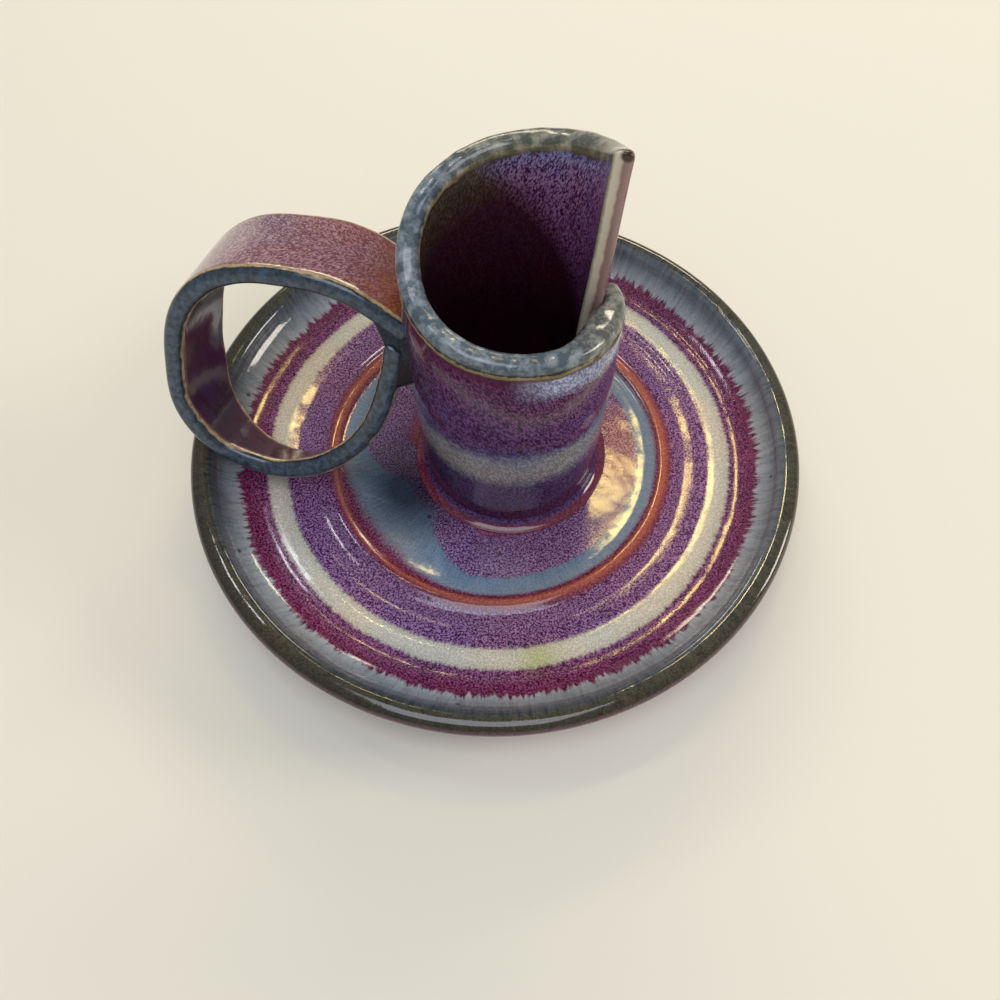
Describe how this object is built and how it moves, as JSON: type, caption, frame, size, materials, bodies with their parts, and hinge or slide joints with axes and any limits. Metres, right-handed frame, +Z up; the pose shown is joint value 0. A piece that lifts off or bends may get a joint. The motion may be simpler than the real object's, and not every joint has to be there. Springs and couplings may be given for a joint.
{
  "type": "chamberstick with finger loop",
  "caption": "Glazed stoneware chamberstick: a drip saucer, a candle tower rolled from one strip with a climbing spiral lip, and a strap finger loop.",
  "frame": {"origin": "middle of the flat base, on the table", "axes": "+Z up along the saucer's axis; the finger loop points to about -X"},
  "size_m": [0.1302, 0.1302, 0.0955],
  "materials": {
    "saucer_glaze": "glossy plum and lavender glaze with cream and blue-grey rings",
    "tower_glaze": "glossy plum glaze with a cream band and a blue-grey lip",
    "loop_glaze": "glossy mauve glaze with slate edges"
  },
  "bodies": {
    "root": {"saucer": "saucer_glaze", "candle_tower": "tower_glaze", "foot_coil": "tower_glaze", "finger_loop": "loop_glaze", "loop_luting": "loop_glaze"}
  },
  "joints": []
}
